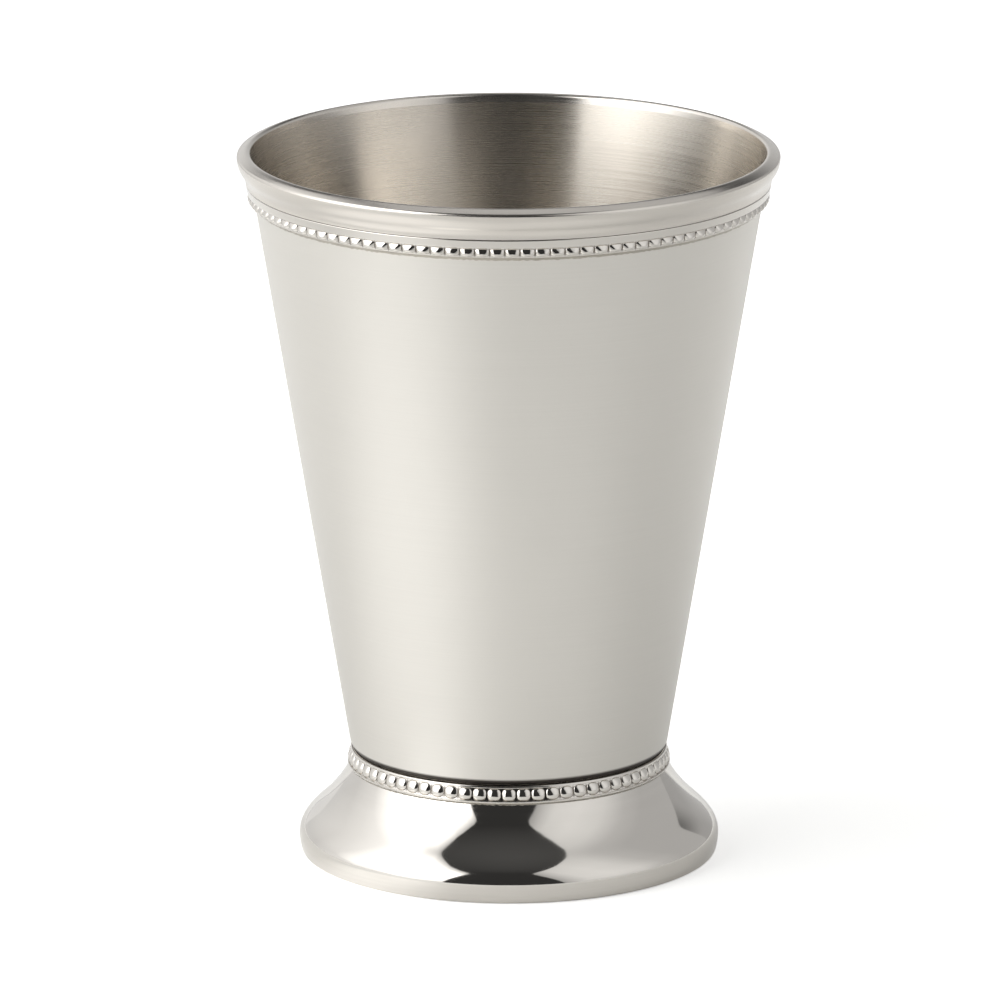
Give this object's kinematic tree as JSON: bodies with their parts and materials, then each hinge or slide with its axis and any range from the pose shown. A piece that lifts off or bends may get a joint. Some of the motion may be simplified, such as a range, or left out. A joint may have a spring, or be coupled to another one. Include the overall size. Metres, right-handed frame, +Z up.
{
  "type": "julep cup",
  "caption": "Footed drinking cup with a tapered satin steel body, a polished rim moulding with beading below it, and a flared hollow foot with a beaded collar.",
  "frame": {"origin": "centre of the standing ring, on the surface that the cup stands on", "axes": "+Z up along the cup's axis; the cup is round, so X and Y are free"},
  "size_m": [0.0888, 0.0888, 0.1183],
  "materials": {
    "satin_steel": "satin brushed round the cup",
    "polished_steel": "mirror polished stainless steel",
    "silver_solder": "dull, slightly grainy solder"
  },
  "bodies": {
    "root": {"cup_body": "satin_steel", "rim_moulding": "polished_steel", "rim_beading": "polished_steel", "rim_solder_seam": "silver_solder", "foot": "polished_steel", "foot_beading": "polished_steel", "foot_solder_seam": "silver_solder", "foot_braze_ring": "silver_solder"}
  },
  "joints": []
}
